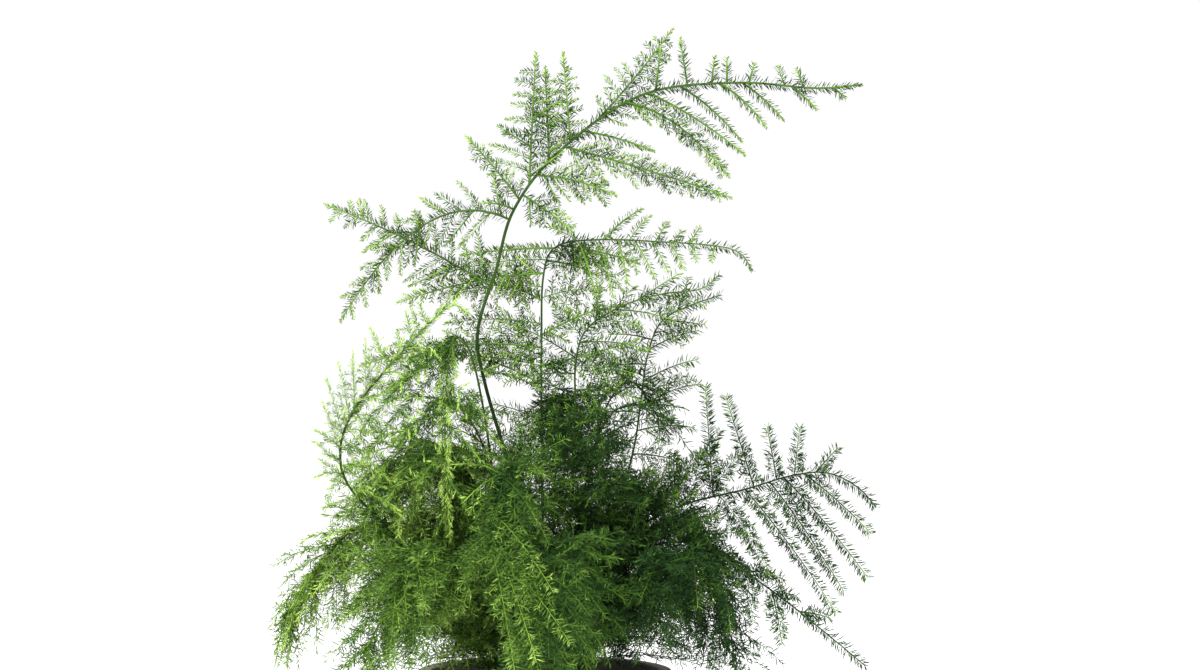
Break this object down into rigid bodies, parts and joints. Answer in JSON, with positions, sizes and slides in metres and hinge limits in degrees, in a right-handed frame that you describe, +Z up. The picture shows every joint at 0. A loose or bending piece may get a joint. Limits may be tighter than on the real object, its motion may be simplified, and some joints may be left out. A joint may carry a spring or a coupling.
{
  "type": "potted lace fern",
  "caption": "Bushy potted lace fern with wiry arching stems, flat feathery sprays of fine needles and a plain tapered pot.",
  "frame": {"origin": "middle of the pot's flat foot, on the surface it stands on", "axes": "+Z up along the pot's axis, -Y towards the side that the picture shows, +X to the right in the picture"},
  "size_m": [0.3342, 0.2719, 0.4824],
  "materials": {
    "pot": "matte",
    "soil": "rough",
    "young_foliage": "matte",
    "foliage": "matte"
  },
  "bodies": {
    "root": {"pot": "pot", "soil": "soil", "frond_tall": "foliage", "frond_level": "foliage", "frond_young": "young_foliage", "frond_hanging": "young_foliage", "frond_right": "foliage", "frond_low_right": "foliage", "frond_mid_right": "foliage", "frond_reach": "foliage", "frond_arch_1": "foliage", "frond_arch_2": "foliage", "frond_arch_3": "foliage", "frond_arch_4": "foliage", "frond_arch_5": "foliage", "frond_arch_6": "foliage", "frond_skirt_1": "foliage", "frond_skirt_2": "foliage", "frond_skirt_3": "foliage", "frond_skirt_4": "foliage", "frond_skirt_5": "foliage", "frond_skirt_6": "foliage", "frond_skirt_7": "foliage"}
  },
  "joints": []
}
